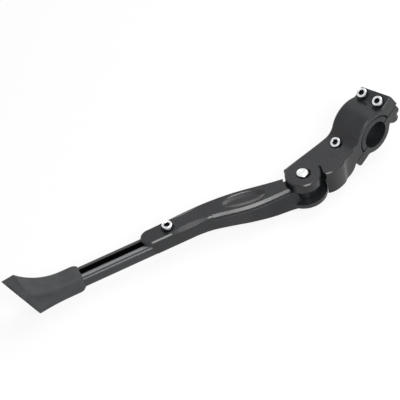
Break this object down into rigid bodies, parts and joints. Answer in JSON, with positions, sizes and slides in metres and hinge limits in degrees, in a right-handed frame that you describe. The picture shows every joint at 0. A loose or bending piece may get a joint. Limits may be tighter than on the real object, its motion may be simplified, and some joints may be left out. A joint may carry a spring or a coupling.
{
  "type": "bicycle kickstand",
  "caption": "Side kickstand that clamps on a bicycle frame tube: cast arm and knuckle, folding cast leg, grooved foot rod of adjustable length and a slanted rubber foot.",
  "frame": {"origin": "centre of the clamped tube, halfway along the clamp", "axes": "+Z along the fold pivot towards the domed end of its pin, +X from the foot towards the pivot along the open leg, +Y to the side away from which the leg folds"},
  "size_m": [0.3348, 0.0599, 0.0541],
  "materials": {
    "black_cast_alloy": "black paint on a cast alloy, satin, lightly textured",
    "black_anodised": "black anodised extrusion, satin",
    "black_rubber": "matte black rubber",
    "foot_rubber": "matte dark grey rubber",
    "zinc_screws": "bright zinc plated steel",
    "steel_pin": "bright turned steel",
    "steel_inner": "plain steel, lightly oiled",
    "spring_steel": "dark spring wire",
    "black_washer": "blackened steel"
  },
  "bodies": {
    "mount_body": {"bracket": "black_cast_alloy", "clamp_cap": "black_cast_alloy", "tube_liner": "black_rubber", "clamp_screws": "zinc_screws", "pivot_pin": "steel_pin", "thrust_washer": "steel_inner", "pin_washer": "steel_inner"},
    "leg_body": {"leg": "black_cast_alloy", "latch_spring": "spring_steel", "slide_nut": "steel_inner", "set_screw": "zinc_screws", "set_washer": "black_washer"},
    "rod_body": {"foot_rod": "black_anodised", "foot": "foot_rubber"},
    "plunger_body": {"latch_plunger": "steel_inner"}
  },
  "joints": [
    {"name": "leg_fold", "type": "hinge", "parent": "mount_body", "child": "leg_body", "pos_m": [-0.06372, -0.0207, 0.003], "axis": [0, 0, 1], "range_deg": [0, 100]},
    {"name": "rod_slide", "type": "slide", "parent": "leg_body", "child": "rod_body", "axis": [-1, 0, 0], "range_m": [-0.03, 0.012]},
    {"name": "latch_travel", "type": "slide", "parent": "leg_body", "child": "plunger_body", "axis": [1, 0, 0], "range_m": [-0.0015, 0.0008], "stiffness_N_per_m": 1500, "springref_m": 0.006, "deforming": ["latch_spring"]}
  ]
}
